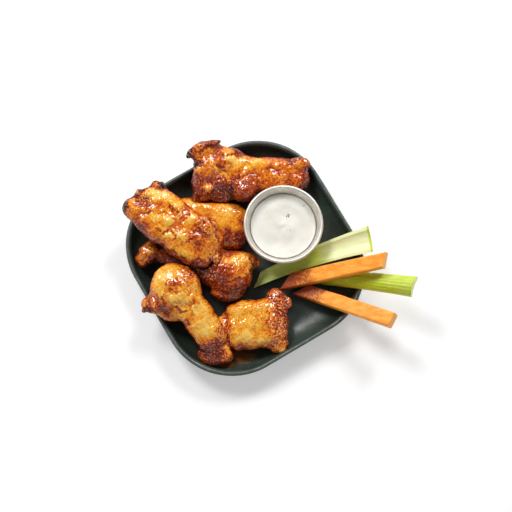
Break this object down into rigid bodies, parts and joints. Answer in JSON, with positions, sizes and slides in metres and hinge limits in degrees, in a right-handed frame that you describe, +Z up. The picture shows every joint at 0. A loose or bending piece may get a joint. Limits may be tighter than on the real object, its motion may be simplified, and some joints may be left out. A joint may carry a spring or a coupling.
{
  "type": "chicken wings serving",
  "caption": "Glazed chicken wings heaped on a dark rounded square plate, with a steel cup of creamy dip and sticks of celery and carrot.",
  "frame": {"origin": "middle of the plate's flat underside, where it rests", "axes": "+Z up; X and Y run along the plate's straight sides, with the vegetable sticks reaching out over the +X -Y corner"},
  "size_m": [0.1986, 0.2056, 0.0495],
  "materials": {
    "plate": "satin charcoal glaze",
    "sauce_cup": "satin",
    "dip": "soft creamy gloss",
    "glazed_skin": "wet, sticky glaze over browned skin",
    "celery": "moist satin",
    "carrot": "moist satin"
  },
  "bodies": {
    "root": {"plate": "plate", "sauce_cup": "sauce_cup", "dip": "dip", "wing_back": "glazed_skin", "wing_left": "glazed_skin", "wing_under": "glazed_skin", "drumette": "glazed_skin", "wing_front": "glazed_skin", "wing_right": "glazed_skin", "celery_hollow_up": "celery", "celery_back_up": "celery", "carrot_top": "carrot", "carrot_low": "carrot"}
  },
  "joints": []
}
